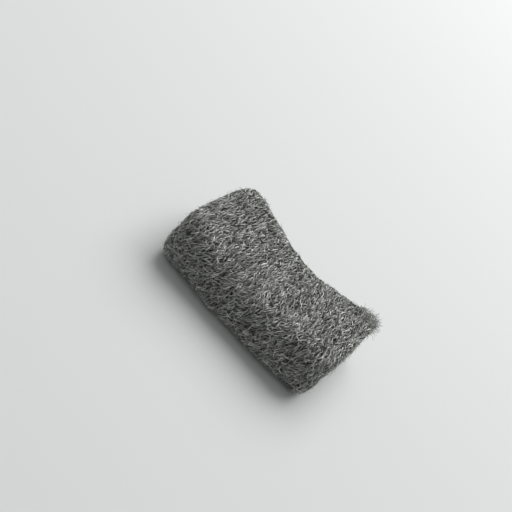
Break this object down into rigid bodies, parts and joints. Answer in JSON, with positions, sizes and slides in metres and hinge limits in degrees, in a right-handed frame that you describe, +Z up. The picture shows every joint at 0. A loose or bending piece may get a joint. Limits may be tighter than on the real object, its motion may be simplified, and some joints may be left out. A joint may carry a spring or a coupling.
{
  "type": "scrub pad",
  "caption": "Soft block of fine wire wool, one ribbon rolled and pressed flat, dished across the top, for scouring by hand.",
  "frame": {"origin": "on the surface that the pad rests on, under the middle of its bounding box", "axes": "+X along the pad towards the end with the ear, +Y across it to the back, +Z up through its thickness"},
  "size_m": [0.0984, 0.0636, 0.0315],
  "materials": {
    "steel_wool": "a tangle of fine grey steel strands, dull overall with small bright glints"
  },
  "bodies": {
    "root": {"wool_pad": "steel_wool"}
  },
  "joints": []
}
